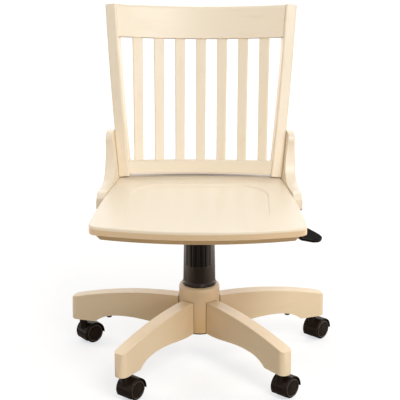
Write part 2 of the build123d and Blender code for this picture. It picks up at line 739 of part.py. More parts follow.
with BuildPart() as seat:
    with BuildSketch(Plane.XY.offset(SEAT_TOP - SEAT_EDGE)):
        add(seat_plan.sketch)
    extrude(amount=SEAT_EDGE)
    with BuildSketch(Plane.XY.offset(SEAT_TOP - SEAT_EDGE)):
        offset(seat_plan.sketch, amount=-9)
    extrude(amount=-SEAT_UNDER, taper=42)
    fillet(seat.edges().group_by(Axis.Z)[-1], radius=3)
    # Saddle scoop: a shallow dish, deepest at the rear and running out to the front
    scoop_tilt = degrees(atan2(SCOOP_DEEP, SCOOP_REAR - SCOOP_FRONT))
    scoop_normal = (0, tan(radians(scoop_tilt)), 1)
    scoop_plane = Plane(origin=(0, SCOOP_FRONT, SEAT_TOP), x_dir=(1, 0, 0), z_dir=scoop_normal)
    with BuildSketch(scoop_plane):
        with Locations((0, (SCOOP_REAR - SCOOP_FRONT) / 2)):
            RectangleRounded(2 * SCOOP_HALF - 22, SCOOP_REAR - SCOOP_FRONT - 6, SCOOP_CORNER)
    extrude(amount=SCOOP_DEEP + 3, taper=-48, mode=Mode.SUBTRACT)
    with Locations(*[(x, y, SEAT_BOTTOM) for x, y in SEAT_BOLTS]):
        Cylinder(3.0 + FIT, 36, mode=Mode.SUBTRACT)

# Back posts: curved side profile, splayed outwards
FOOT_POST_Z = SEAT_TOP + POST_GAP
SPLAY = degrees(atan2(POST_TOP_X - POST_FOOT_X + BACK_LEAN * sin(radians(POST_TOE)), BACK_TALL))


def back_y(t):
    """Depth of the posts' front line at a height fraction t, easing backwards."""
    return POST_FOOT_Y + BACK_LEAN * (0.62 * t + 0.38 * t * t)


def back_lean(t):
    """Slope of that line in degrees from the vertical."""
    return degrees(atan2(BACK_LEAN * (0.62 + 0.76 * t), BACK_TALL))


def front_point(t, deep=0.0):
    a = radians(back_lean(t))
    return back_y(t) + deep * cos(a), BACK_TALL * t - deep * sin(a)


STEPS = (0.0, 0.25, 0.5, 0.75, 1.0)
with BuildPart() as post_blank:
    with BuildSketch(Plane.YZ):
        with BuildLine():
            post_front = Spline(*[front_point(t) for t in STEPS])
            post_rear = Spline(*[front_point(t, POST_DEEP) for t in STEPS])
            Line(post_front @ 1, post_rear @ 1)
            Line(post_front @ 0, post_rear @ 0)
        make_face()
    extrude(amount=POST_WIDE / 2, both=True)
    fillet(post_blank.edges().filter_by(lambda e: e.length > 200), radius=4)
    fillet(post_blank.faces().filter_by(lambda f: f.normal_at().Z > 0.9).edges(), radius=1.5)
    # The foot is cut level over the seat
    with Locations((0, POST_FOOT_Y, -50)):
        Box(100, 200, 100, mode=Mode.SUBTRACT)


def place_post(shape, side):
    """Turns a post, or a block made beside it, to lie flat on its bracket, splays it and puts it in place."""
    toed = shape.rotate(Axis((0, POST_FOOT_Y + POST_DEEP / 2, 0), (0, 0, 1)), side * POST_TOE)
    return toed.rotate(Axis.Y, side * SPLAY).moved(Location((side * POST_FOOT_X, 0, FOOT_POST_Z + 1.5)))


posts = {side: place_post(post_blank.part, side) for side in (-1, 1)}


def beyond(side, start):
    """A large block that fills everything outside a distance from the post's middle plane."""
    return place_post(Box(200, 700, 1200).moved(Location((side * (start + 100), POST_FOOT_Y, 200))), side)


def bowed(width, bow, thick, tall, t_low, lean, round_top, bevelled=False):
    """A rail bowed backwards in the middle, its lower front edge on the back line at t_low."""
    radius = (width * width / 4 + bow * bow) / (2 * bow)
    y0, z0 = front_point(t_low, 5.0)
    with BuildPart() as rail:
        with BuildSketch(Plane.XY):
            with Locations((0, bow - radius)):
                Circle(radius + thick)
                Circle(radius, mode=Mode.SUBTRACT)
            with Locations((0, -3 * radius - 30)):
                Rectangle(8 * radius, 6 * radius, mode=Mode.SUBTRACT)
            Rectangle(width + 30, 8 * radius, mode=Mode.INTERSECT)
        extrude(amount=tall)
        tops = rail.edges().group_by(Axis.Z)[-1].filter_by(lambda e: e.length > 100)
        if bevelled:
            chamfer(tops, length=round_top)
        else:
            fillet(tops.sort_by(Axis.Y)[0], radius=round_top)
            fillet(tops.sort_by(Axis.Y)[-1], radius=min(round_top, thick - round_top - 1))
    return rail.part.rotate(Axis.X, -lean).moved(Location((0, y0, z0 + FOOT_POST_Z)))


T_CREST = 1.0 - (CREST_TALL - 6) / (BACK_TALL * 1.03)
CREST_LEAN = back_lean(0.95)
RAIL_LEAN = back_lean(0.02)
CREST_LONG = 2 * POST_TOP_X - POST_WIDE
RAIL_LONG = 2 * POST_FOOT_X - POST_WIDE
crest_solid = bowed(CREST_LONG, CREST_BOW, CREST_T, CREST_TALL - 3, T_CREST, CREST_LEAN, 9)
rail_solid = bowed(RAIL_LONG, RAIL_BOW, RAIL_T, RAIL_TALL, 0.018, RAIL_LEAN, 3, bevelled=True)


def bow_at(x, half, bow):
    radius = (half * half + bow * bow) / (2 * bow)
    return sqrt(radius * radius - x * x) - radius + bow


def on_rail(x, y, z, bow, lean):
    """A point moved back by the rail's bow, square to its lean."""
    return Vector(x, y + bow * cos(radians(lean)), z - bow * sin(radians(lean)))


slats = []
for i in range(SLAT_COUNT):
    k = i - (SLAT_COUNT - 1) / 2
    x_low = k * SLAT_PITCH_LOW
    x_top = k * SLAT_PITCH_TOP
    t_low = RAIL_TALL / BACK_TALL + 0.014
    y_low, z_low = front_point(t_low, 5.0 + RAIL_T / 2)
    y_top, z_top = front_point(T_CREST, 5.0 + CREST_T / 2)
    b_low = bow_at(x_low, RAIL_LONG / 2, RAIL_BOW)
    b_top = bow_at(x_top, CREST_LONG / 2, CREST_BOW)
    p_low = on_rail(x_low, y_low, z_low, b_low, RAIL_LEAN)
    p_top = on_rail(x_top, y_top, z_top, b_top, CREST_LEAN)
    rise = p_top - p_low
    turn = degrees(atan2(x_top, 560.0))
    across = Vector(cos(radians(-turn)), sin(radians(-turn)), 0)
    across = (across - rise * (across.dot(rise) / rise.dot(rise))).normalized()
    low_end = p_low - rise.normalized() * SLAT_TENON
    with BuildPart() as slat_raw:
        with BuildSketch(Plane(origin=low_end, x_dir=across, z_dir=rise)):
            RectangleRounded(SLAT_WIDE_LOW, SLAT_T, 2.2)
        with BuildSketch(Plane(origin=p_top + rise.normalized() * SLAT_TENON, x_dir=across, z_dir=rise)):
            RectangleRounded(SLAT_WIDE_TOP, SLAT_T, 2.2)
        loft()
    slats.append(slat_raw.part.moved(Location((0, 0, FOOT_POST_Z))))

trims = {side: beyond(side, -POST_WIDE / 2) for side in (-1, 1)}
with BuildPart() as crest:
    add(crest_solid)
    for side in (-1, 1):
        add(trims[side], mode=Mode.SUBTRACT)
    for slat in slats:
        add(slat, mode=Mode.SUBTRACT)
save(crest, "crest_rail")

with BuildPart() as lower_rail:
    add(rail_solid)
    for side in (-1, 1):
        add(trims[side], mode=Mode.SUBTRACT)
    for slat in slats:
        add(slat, mode=Mode.SUBTRACT)
save(lower_rail, "lower_rail")

for i, slat in enumerate(slats):
    with BuildPart() as slat_out:
        add(slat)
    save(slat_out, f"slat_{i + 1}")

# Brackets: a board on each side, let in to take the post's outer face
with BuildPart() as bracket_blank:
    with BuildSketch(Plane.YZ):
        with BuildLine():
            head_y = POST_FOOT_Y + 26
            nose_low = SEAT_TOP - BRACKET_DROP
            b0 = Line((BRACKET_NOSE_Y + 6, nose_low), (BRACKET_NOSE_Y, nose_low + 6))
            b1 = Line(b0 @ 1, (BRACKET_NOSE_Y + 1, SEAT_TOP - 7))
            b2 = Spline(
                b1 @ 1,
                (BRACKET_NOSE_Y + 10, SEAT_TOP + 1),
                (BRACKET_NOSE_Y + 60, SEAT_TOP + 4),
                (POST_FOOT_Y - 30, SEAT_TOP + 19),
                (POST_FOOT_Y - 11, SEAT_TOP + 54),
                (POST_FOOT_Y - 7, BRACKET_TOP - 22),
            )
            b3 = Spline(
                b2 @ 1,
                (POST_FOOT_Y - 4, BRACKET_TOP - 8),
                (POST_FOOT_Y + 12, BRACKET_TOP),
                (head_y + 12, BRACKET_TOP - 4),
            )
            b4 = Line(b3 @ 1, (head_y + 22, BRACKET_TOP - 20))
            b5 = Spline(b4 @ 1, (head_y + 14, SEAT_TOP + 50), (head_y + 8, nose_low + 10))
            b6 = Line(b5 @ 1, (head_y, nose_low))
            Line(b6 @ 1, b0 @ 0)
        make_face()
    extrude(amount=-BRACKET_BLANK)
    outer = bracket_blank.edges().filter_by(lambda e: abs(e.center().X) < 0.01)
    fillet(outer.filter_by(lambda e: e.length > 50), radius=3)

BRACKET_BOLTS_SEAT = (30.0, 105.0)
bracket_seat_z = SEAT_TOP - SEAT_EDGE / 2
POST_BOLT_Z = (BRACKET_TOP - 62.0, BRACKET_TOP - 28.0)
brackets = {}
bolt_axes = []
with BuildPart() as seat_core:
    with BuildSketch(Plane.XY.offset(SEAT_BOTTOM - 60)):
        offset(seat_plan.sketch, amount=FIT)
    extrude(amount=BRACKET_TOP + 120 - SEAT_BOTTOM)


def outer_x(y):
    """Half distance between the brackets' outer faces at depth y."""
    return BRACKET_OUT - y * tan(radians(BRACKET_ANGLE))


for side in (-1, 1):
    part = bracket_blank.part.moved(Location((BRACKET_OUT, 0, 0), (0, 0, BRACKET_ANGLE)))
    if side < 0:
        part = part.mirror(Plane.YZ)
    brackets[side] = part

for side in (-1, 1):
    heading = Vector(side * cos(radians(BRACKET_ANGLE)), sin(radians(BRACKET_ANGLE)), 0)
    for y in BRACKET_BOLTS_SEAT:
        at = Vector(side * outer_x(y), y, bracket_seat_z)
        bolt_axes.append((side, at, heading, 62.0))
    for z in POST_BOLT_Z:
        y = back_y((z - FOOT_POST_Z) / BACK_TALL) + POST_DEEP / 2
        at = Vector(side * outer_x(y), y, z)
        bolt_axes.append((side, at, heading, 46.0))

HEAD_R = 7.0
HEAD_T = 3.0


def bolt_shape(at, heading, long, grow):
    with BuildPart() as bolt:
        with BuildSketch(Plane(origin=at - heading * (HEAD_T + 0.5), z_dir=heading)):
            Circle(HEAD_R + grow)
        extrude(amount=HEAD_T if grow == 0 else HEAD_T + 6)
        with BuildSketch(Plane(origin=at - heading * (HEAD_T + 0.5), z_dir=heading)):
            Circle(3.0 + grow)
        extrude(amount=-(long - HEAD_T))
        if grow == 0:
            with BuildSketch(Plane(origin=at - heading * 0.5, z_dir=heading)):
                RegularPolygon(2.6, 6)
            extrude(amount=-2, mode=Mode.SUBTRACT)
    return bolt.part


holes = {side: [bolt_shape(a, h, l, FIT) for s, a, h, l in bolt_axes if s == side] for side in (-1, 1)}
for side, name in ((-1, "left"), (1, "right")):
    inside = place_post(Box(200, 700, 1200).moved(Location((side * (POST_WIDE / 2 - 100), POST_FOOT_Y, 600))), side)
    with BuildPart() as bracket:
        add(brackets[side])
        add(seat_core.part, mode=Mode.SUBTRACT)
        add(inside, mode=Mode.SUBTRACT)
        for hole in holes[side]:
            add(hole, mode=Mode.SUBTRACT)
    save(bracket, f"bracket_{name}")
    with BuildPart() as post:
        add(posts[side])
        for hole in holes[side]:
            add(hole, mode=Mode.SUBTRACT)
    save(post, f"post_{name}")

with BuildPart() as bracket_bolts:
    for side, at, heading, long in bolt_axes:
        add(bolt_shape(at, heading, long, 0))
save(bracket_bolts, "bracket_bolts")

with BuildPart() as seat_set:
    add(seat.part)
    for side in (-1, 1):
        for hole in holes[side]:
            add(hole, mode=Mode.SUBTRACT)
save(seat_set, "seat")
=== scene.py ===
"""Dresses the wooden swivel chair: painted wood, moulded plastic, steel fittings and a white studio."""
import json
import math

import bpy
from mathutils import Matrix, Vector


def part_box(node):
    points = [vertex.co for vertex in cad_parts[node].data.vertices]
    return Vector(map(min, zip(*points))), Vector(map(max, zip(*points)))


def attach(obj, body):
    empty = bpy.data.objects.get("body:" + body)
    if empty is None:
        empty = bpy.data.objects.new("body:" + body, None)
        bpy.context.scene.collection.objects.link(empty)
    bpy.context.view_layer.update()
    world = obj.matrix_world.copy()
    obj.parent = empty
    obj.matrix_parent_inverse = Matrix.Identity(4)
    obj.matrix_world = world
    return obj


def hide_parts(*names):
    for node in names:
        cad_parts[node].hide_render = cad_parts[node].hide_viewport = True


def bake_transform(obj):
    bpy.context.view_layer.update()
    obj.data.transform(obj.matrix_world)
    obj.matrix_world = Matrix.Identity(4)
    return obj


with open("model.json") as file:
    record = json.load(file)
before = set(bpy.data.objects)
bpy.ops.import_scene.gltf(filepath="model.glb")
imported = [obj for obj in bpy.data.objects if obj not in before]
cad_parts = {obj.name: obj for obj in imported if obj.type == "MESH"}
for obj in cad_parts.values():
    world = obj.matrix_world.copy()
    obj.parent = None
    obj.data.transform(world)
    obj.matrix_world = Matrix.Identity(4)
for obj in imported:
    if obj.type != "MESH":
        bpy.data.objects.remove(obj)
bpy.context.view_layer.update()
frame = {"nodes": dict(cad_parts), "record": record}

bl_info = {
    "name": "Wooden Swivel Chair",
    "version": (1, 0, 0),
    "blender": (4, 5, 0),
    "location": "3D View > Sidebar > Chair",
    "description": "Finishes and small fittings of an armless wooden swivel chair",
    "category": "Object",
}

NODES = frame["nodes"]
JOINTS = {j["name"]: j for j in frame["record"]["behaviour"]["joints"]}

# Nodes by finish
SEAT_BOARD = ("seat",)
UPRIGHT_WOOD = ("post_left", "post_right", *(f"slat_{i}" for i in range(1, 8)))
CREST_WOOD = ("crest_rail",)
RAIL_WOOD = ("lower_rail",)
BRACKET_WOOD = ("bracket_left", "bracket_right")
HUB_WOOD = ("hub",)
CASTERS = tuple(f"caster_{i}" for i in range(1, 6))
BLACK_STEEL = (
    "hub_socket", "gas_tube", "seat_plate", "tilt_housing", "hub_plate", "leg_bolts", "bracket_bolts",
    "seat_bolts", "rod_clip",
)
BRIGHT_STEEL = (
    "caster_sockets", "thrust_bearing", "piston_rod", "pressure_tube", "release_pin", "pivot_pin",
    "tension_spring", "tension_bolt", "lever_rod", "hub_screws", *(f"{c}_pins" for c in CASTERS),
)

# Factors on the grain's coordinates; the grain runs along the axis with the smallest one
GRAIN_X = (0.10, 1.0, 1.0)
GRAIN_Y = (1.0, 0.10, 1.0)
GRAIN_Z = (1.0, 1.0, 0.10)
GRAIN_BRACKET = (1.0, 0.25, 0.14)
GRAIN_EVEN = (1.0, 1.0, 1.0)
GRAIN_ROUND = (1.0, 1.0, 8.0)  # lines that run round the Z axis
STREAK_SPAN = (0.52, 0.72, 0.0, 1.0)
BROAD_DETAIL = 2.0

# Bands of painted shade and of dark seams in the glaze's tone: from, to (metres) and the amount at both ends
SEAT_EDGE = (-0.0085, -0.0050, 0.72, 0.0)  # painted shade on the seat's front edge; heights from the seat's top
# painted shade, in the full glaze tone, on the seat's under bevel and underside
SEAT_UNDERCUT = (-0.022, -0.018, 1.0, 0.0)
RAIL_SHADE = (0.003, 0.008, 0.6, 0.0)  # painted shade along the lower rail's foot; heights from the lower rail's foot
# painted shadow line: the lower rail's lowest edge darkened where its gap to the seat lies in shade
RAIL_SHADOW_LINE = (0.0020, 0.0042, 1.0, 0.0)
HUB_SHADE = (0.06, 0.19, 1.0, 0.48)  # painted shade on the hub under the seat, darker towards the bottom; heights above the floor
LEG_ROOT = 0.0492  # distances from the column's axis
# painted shade on the legs, darker towards the hub under the seat
LEG_SHADE = (LEG_ROOT, 0.24, 0.40, 0.0)
LEG_SEAM = (LEG_ROOT + 0.0008, LEG_ROOT + 0.0026, 1.0, 0.0)
SEAM_AND_SHADOW_DARK = 0.35  # colour of the dark seams and of the painted shadow line under the lower rail, as a share of the glaze

# Paint: shares of glaze, coat, scales of the grain, roughness around its value, strength and depth of the relief
PORE_GLAZE = 0.10
SEAT_PORE_GLAZE = 0.03
BROAD_GLAZE = 0.08
PAINT_COAT = 0.5
PAINT_COAT_ROUGH = 0.30
PAINT_GRAIN = {"fine": 55.0, "broad": 4.0, "detail": 6.0}
PAINT_ROUGH = (-0.08, 0.10)
PAINT_RELIEF = (0.10, 0.0006)

# Plastic and steel: scales of the grain, factors on the roughness, relief and the second colour
PLASTIC_GRAIN = {"fine": 900.0, "broad": 30.0, "detail": 2.0}
PLASTIC_ROUGH = (0.85, 1.2)
PLASTIC_DEPTH = 0.0003
PLASTIC_LIFT = 0.001
STEEL_GRAIN = {"fine": 300.0, "broad": 25.0, "detail": 3.0}
STEEL_ROUGH = (0.8, 1.3)
STEEL_RELIEF = (0.05, 0.0002)
STEEL_TARNISH = 0.72

# Wheel trim and coil
WHEEL_FACE = 0.0206  # from a caster's middle to its wheels' faces
CAP_FLAT = 0.2
CAP_SUNK = 0.0009
BEAD_STEPS, BEAD_SECTION_STEPS = 48, 8
CAP_SEGMENTS, CAP_RINGS = 28, 12
COIL_STEPS, WIRE_STEPS = 40, 14

# Stage: spans are from, to and the results at both ends
FLOOR_HALF = 9.0
FLOOR_DROP = 0.0005
FLOOR_COLOUR = (0.46, 0.43, 0.39)
FLOOR_ROUGH = 0.9
FLOOR_SHINE = 0.1
FLOOR_GLOW = (0.6, 3.5, 0.62, 1.0)  # by distance from the column, for the camera
FLOOR_REFLECTION_GLOW = (0.36, 0.85, 0.02, 2.4)  # by distance to the side, seen only in reflections: a painted reflection that glows bright at the sides
GLOW_COLOUR = (1.0, 1.035, 1.08)
# warm colour of that painted reflection
REFLECTION_GLOW_COLOUR = (1.0, 0.83, 0.70)
WORLD_LIGHT = 0.20
LAMPS = (  # name, place, aim, size, power in ChairStudio
    ("top_soft", (0.2, -0.9, 3.2), (0, -0.1, 0.4), (3.0, 3.0), "top"),
    ("key_right", (1.1, -2.3, 2.7), (0, 0, 0.5), (1.3, 1.3), "key"),
    ("front_fill", (1.3, -3.0, 0.9), (0, 0, 0.2), (1.8, 1.2), "fill"),
    ("back_soft", (0, 2.2, 2.0), (0, 0, 0.2), (3.2, 1.4), "back"),
    ("side_left", (-2.2, 0.5, 2.0), (0, 0, 0.2), (1.4, 1.4), "sides"),
    ("side_right", (2.2, 0.5, 2.0), (0, 0, 0.2), (1.4, 1.4), "sides"),
)
SENSOR_WIDTH = 36.0
CAMERA_SHIFT = 0.7 / 400  # pixels of the photo over its width


class ChairPaint(bpy.types.PropertyGroup):
    """Colours of the woodwork"""

    cream: bpy.props.FloatVectorProperty(
        name="Cream", description="Main colour of the paint", subtype="COLOR", size=3, min=0, max=1,
        default=(0.86, 0.745, 0.575),
    )
    # the glaze colour also paints shade: seat edge and underside, the lower rail's foot, the hub and the legs
    # towards the hub
    glaze_and_shade: bpy.props.FloatVectorProperty(
        name="Glaze", description="Warmer tone that lies in the grain", subtype="COLOR", size=3, min=0, max=1,
        default=(0.62, 0.40, 0.18),
    )
    # a warmer copy of the cream for hub and legs: painted shade, standing in for the warm tone of the shade
    # under the seat
    base_shade_cream: bpy.props.FloatVectorProperty(
        name="Base cream", description="Warmer cream of hub and legs", subtype="COLOR", size=3, min=0, max=1,
        default=(0.94, 0.745, 0.50),
    )
    roughness: bpy.props.FloatProperty(
        name="Roughness", description="Roughness of the satin paint", subtype="FACTOR", min=0, max=1,
        default=0.42,
    )


class ChairTrim(bpy.types.PropertyGroup):
    """Colours and sizes of plastic and steel"""

    sleeve: bpy.props.FloatVectorProperty(
        name="Sleeve", description="Brown of the column sleeve", subtype="COLOR", size=3, min=0, max=1,
        default=(0.016, 0.008, 0.004),
    )
    gloss: bpy.props.FloatVectorProperty(
        name="Gloss black", description="Black of knob, paddle and inner cover", subtype="COLOR", size=3,
        min=0, max=1, default=(0.0045, 0.0030, 0.0022),
    )
    caster: bpy.props.FloatVectorProperty(
        name="Caster", description="Brown black of hoods and wheels", subtype="COLOR", size=3, min=0, max=1,
        default=(0.013, 0.0075, 0.005),
    )
    # the beads are lighter than the wheels: partly their own grey, partly a painted highlight along the rim
    bead: bpy.props.FloatVectorProperty(
        name="Bead", description="Dark grey of the beads on the wheels", subtype="COLOR", size=3, min=0, max=1,
        default=(0.055, 0.042, 0.034),
    )
    bead_radius: bpy.props.FloatProperty(
        name="Bead radius", description="Radius of the bead round a wheel's face", subtype="DISTANCE",
        unit="LENGTH", min=0.005, max=0.03, default=0.0199,
    )
    bead_thick: bpy.props.FloatProperty(
        name="Bead thickness", description="Half thickness of that bead", subtype="DISTANCE", unit="LENGTH",
        min=0.0002, max=0.003, default=0.0008,
    )
    cap_radius: bpy.props.FloatProperty(
        name="Cap radius", description="Radius of the dome over an axle end", subtype="DISTANCE", unit="LENGTH",
        min=0.002, max=0.02, default=0.0072,
    )
    spring_wire: bpy.props.FloatProperty(
        name="Spring wire", description="Radius of the tension spring's wire", subtype="DISTANCE",
        unit="LENGTH", min=0.0005, max=0.004, default=0.002,
    )
    spring_turns: bpy.props.IntProperty(
        name="Spring turns", description="Turns of the tension spring", subtype="UNSIGNED", min=2, max=20,
        default=7,
    )


class ChairStudio(bpy.types.PropertyGroup):
    """Light and camera"""

    eye: bpy.props.FloatVectorProperty(
        name="Camera", description="Place of the camera before it is turned by the azimuth", subtype="XYZ",
        unit="LENGTH", size=3, default=(0.0, -3.163, 1.423),
    )
    azimuth: bpy.props.FloatProperty(
        name="Azimuth", description="How far the camera stands to the side of the lever", subtype="ANGLE",
        default=math.radians(1.0),
    )
    pitch: bpy.props.FloatProperty(
        name="Pitch", description="How far the camera looks down", subtype="ANGLE", default=math.radians(17.93)
    )
    lens: bpy.props.FloatProperty(
        name="Lens", description="Focal length in millimetres", unit="CAMERA", min=10, max=400, default=126.8
    )
    top: bpy.props.FloatProperty(
        name="Top light", description="Power of the overhead softbox", subtype="POWER", min=0, default=10
    )
    key: bpy.props.FloatProperty(
        name="Key light", description="Power of the front right softbox", subtype="POWER", min=0, default=50
    )
    fill: bpy.props.FloatProperty(
        name="Fill light", description="Power of the low front softbox", subtype="POWER", min=0, default=24
    )
    back: bpy.props.FloatProperty(
        name="Back light", description="Power of the softbox behind", subtype="POWER", min=0, default=26
    )
    sides: bpy.props.FloatProperty(
        name="Side lights", description="Power of each of the two side softboxes", subtype="POWER", min=0,
        default=18,
    )


def node(tree, kind, at=(0, 0), **values):
    """Adds a node and sets its properties."""
    made = tree.nodes.new(kind)
    made.location = at
    for key, value in values.items():
        setattr(made, key, value)
    return made


def wire(tree, source, target):
    """Links two sockets."""
    tree.links.new(source, target)


def smooth_range(tree, source, span, at):
    """Maps a value smoothly; a span is from, to and the results at both ends."""
    ranged = node(tree, "ShaderNodeMapRange", at, interpolation_type="SMOOTHSTEP")
    for label, value in zip(("From Min", "From Max", "To Min", "To Max"), span):
        ranged.inputs[label].default_value = value
    wire(tree, source, ranged.inputs["Value"])
    return ranged.outputs["Result"]


def grain_group():
    """Fine and broad variation on stretched coordinates, shared by every finish."""
    name = "chair_grain"
    if name in bpy.data.node_groups:
        return bpy.data.node_groups[name]
    tree = bpy.data.node_groups.new(name, "ShaderNodeTree")
    face = tree.interface
    face.new_socket("Vector", in_out="INPUT", socket_type="NodeSocketVector")
    for label, default in (("Fine Scale", 60.0), ("Broad Scale", 5.0), ("Detail", 5.0)):
        face.new_socket(label, in_out="INPUT", socket_type="NodeSocketFloat").default_value = default
    for label in ("Fine", "Broad", "Streak"):
        face.new_socket(label, in_out="OUTPUT", socket_type="NodeSocketFloat")
    entry = node(tree, "NodeGroupInput", (-700, 0))
    leave = node(tree, "NodeGroupOutput", (500, 0))
    fine = node(tree, "ShaderNodeTexNoise", (-350, 200))
    broad = node(tree, "ShaderNodeTexNoise", (-350, -150))
    wire(tree, entry.outputs["Vector"], fine.inputs["Vector"])
    wire(tree, entry.outputs["Vector"], broad.inputs["Vector"])
    wire(tree, entry.outputs["Fine Scale"], fine.inputs["Scale"])
    wire(tree, entry.outputs["Broad Scale"], broad.inputs["Scale"])
    wire(tree, entry.outputs["Detail"], fine.inputs["Detail"])
    broad.inputs["Detail"].default_value = BROAD_DETAIL
    streak = smooth_range(tree, fine.outputs["Fac"], STREAK_SPAN, (0, 60))
    wire(tree, fine.outputs["Fac"], leave.inputs["Fine"])
    wire(tree, broad.outputs["Fac"], leave.inputs["Broad"])
    wire(tree, streak, leave.inputs["Streak"])
    return tree


def start_material(name, stretch, turn=(0, 0, 0), *, fine, broad, detail):
    """An empty finish with its Principled shader and the grain group on Object coordinates."""
    mat = bpy.data.materials.new(name)
    mat.use_nodes = True
    tree = mat.node_tree
    shader = tree.nodes["Principled BSDF"]
    where = node(tree, "ShaderNodeTexCoord", (-1300, 0))
    place = node(tree, "ShaderNodeMapping", (-1100, 0), vector_type="TEXTURE")
    place.inputs["Scale"].default_value = tuple(1 / s for s in stretch)
    place.inputs["Rotation"].default_value = turn
    grain = node(tree, "ShaderNodeGroup", (-850, 0), node_tree=grain_group())
    grain.inputs["Fine Scale"].default_value = fine
    grain.inputs["Broad Scale"].default_value = broad
    grain.inputs["Detail"].default_value = detail
    wire(tree, where.outputs["Object"], place.inputs["Vector"])
    wire(tree, place.outputs["Vector"], grain.inputs["Vector"])
    return mat, tree, shader, grain


def spread(tree, source, low, high, at):
    """Maps a 0 to 1 variation to a value range."""
    ranged = node(tree, "ShaderNodeMapRange", at)
    ranged.inputs["To Min"].default_value = low
    ranged.inputs["To Max"].default_value = high
    wire(tree, source, ranged.inputs["Value"])
    return ranged.outputs["Result"]


def tint(tree, amount, first, second, at):
    """Mixes two colours by a variation."""
    mix = node(tree, "ShaderNodeMix", at, data_type="RGBA")
    mix.inputs["A"].default_value = (*first, 1)
    mix.inputs["B"].default_value = (*second, 1)
    wire(tree, amount, mix.inputs["Factor"])
    return mix


def relief(tree, shader, height, strength, distance):
    """Turns a height into a bumped normal."""
    bump = node(tree, "ShaderNodeBump", (-300, -400))
    bump.inputs["Strength"].default_value = strength
    bump.inputs["Distance"].default_value = distance
    wire(tree, height, bump.inputs["Height"])
    wire(tree, bump.outputs["Normal"], shader.inputs["Normal"])


def raised(band, height):
    """A band moved up to stand on a height."""
    return (band[0] + height, band[1] + height, *band[2:])


def shade_and_seam_mask(tree, along, bands):
    """How much of a band's tone lies at a height or at a distance from the column, for painted shade and for
    dark seams: the most that any band gives.
    """
    where = node(tree, "ShaderNodeTexCoord", (-1500, 500))
    split = node(tree, "ShaderNodeSeparateXYZ", (-1300, 500))
    wire(tree, where.outputs["Object"], split.inputs["Vector"])
    place = split.outputs["Z"]
    if along == "distance":
        flat = node(tree, "ShaderNodeCombineXYZ", (-1150, 600))
        long = node(tree, "ShaderNodeVectorMath", (-1000, 600), operation="LENGTH")
        wire(tree, split.outputs["X"], flat.inputs["X"])
        wire(tree, split.outputs["Y"], flat.inputs["Y"])
        wire(tree, flat.outputs["Vector"], long.inputs[0])
        place = long.outputs["Value"]
    found = smooth_range(tree, place, bands[0], (-800, 500))
    for band in bands[1:]:
        most = node(tree, "ShaderNodeMath", (-500, 500), operation="MAXIMUM")
        wire(tree, found, most.inputs[0])
        wire(tree, smooth_range(tree, place, band, (-800, 300)), most.inputs[1])
        found = most.outputs["Value"]
    return found


def cream_paint(
    name, stretch, colour, look, turn=(0, 0, 0), along="height", shade=(), seam_and_shadow_line=(), pore=PORE_GLAZE
):
    """Satin cream paint over close grain; glaze lies in the pores, painted shade in the glaze's tone lies in the
    shade bands, and a darker tone lies in the seam bands, which hold dark joints and a painted shadow line.
    """
    mat, tree, shader, grain = start_material(name, stretch, turn, **PAINT_GRAIN)
    glaze_and_shade, rough = tuple(look.glaze_and_shade), look.roughness
    soft = tuple(c * (1 - BROAD_GLAZE) + g * BROAD_GLAZE for c, g in zip(colour, glaze_and_shade))
    body = tint(tree, grain.outputs["Broad"], colour, soft, (-550, 200))
    pores = node(tree, "ShaderNodeMix", (-350, 200), data_type="RGBA")
    pores.inputs["B"].default_value = (*glaze_and_shade, 1)
    wire(tree, body.outputs["Result"], pores.inputs["A"])
    wire(tree, spread(tree, grain.outputs["Streak"], 0.0, pore, (-550, -60)), pores.inputs["Factor"])
    paint = pores
    # shade bands paint shade in the glaze's tone; seam bands paint dark joints and the painted shadow line under
    # the lower rail
    for bands, shade_and_seam_tone in ((shade, glaze_and_shade), (seam_and_shadow_line, tuple(g * SEAM_AND_SHADOW_DARK for g in glaze_and_shade))):
        if bands:
            over = node(tree, "ShaderNodeMix", (-150, 300), data_type="RGBA")
            over.inputs["B"].default_value = (*shade_and_seam_tone, 1)
            wire(tree, paint.outputs["Result"], over.inputs["A"])
            wire(tree, shade_and_seam_mask(tree, along, bands), over.inputs["Factor"])
            paint = over
    wire(tree, paint.outputs["Result"], shader.inputs["Base Color"])
    least, most = (rough + r for r in PAINT_ROUGH)
    dull = spread(tree, grain.outputs["Fine"], least, most, (-550, -220))
    wire(tree, dull, shader.inputs["Roughness"])
    shader.inputs["Coat Weight"].default_value = PAINT_COAT
    shader.inputs["Coat Roughness"].default_value = PAINT_COAT_ROUGH
    relief(tree, shader, grain.outputs["Fine"], *PAINT_RELIEF)
    return mat


def moulded(name, colour, rough, fleck, bump, shine):
    """Moulded plastic with a fine grain in colour, gloss and surface."""
    mat, tree, shader, grain = start_material(name, GRAIN_EVEN, **PLASTIC_GRAIN)
    lighter = tuple(min(1, c * fleck + PLASTIC_LIFT) for c in colour)
    body = tint(tree, grain.outputs["Broad"], colour, lighter, (-450, 200))
    wire(tree, body.outputs["Result"], shader.inputs["Base Color"])
    least, most = (rough * r for r in PLASTIC_ROUGH)
    dull = spread(tree, grain.outputs["Fine"], least, most, (-450, -200))
    wire(tree, dull, shader.inputs["Roughness"])
    shader.inputs["Specular IOR Level"].default_value = shine
    relief(tree, shader, grain.outputs["Fine"], bump, PLASTIC_DEPTH)
    return mat


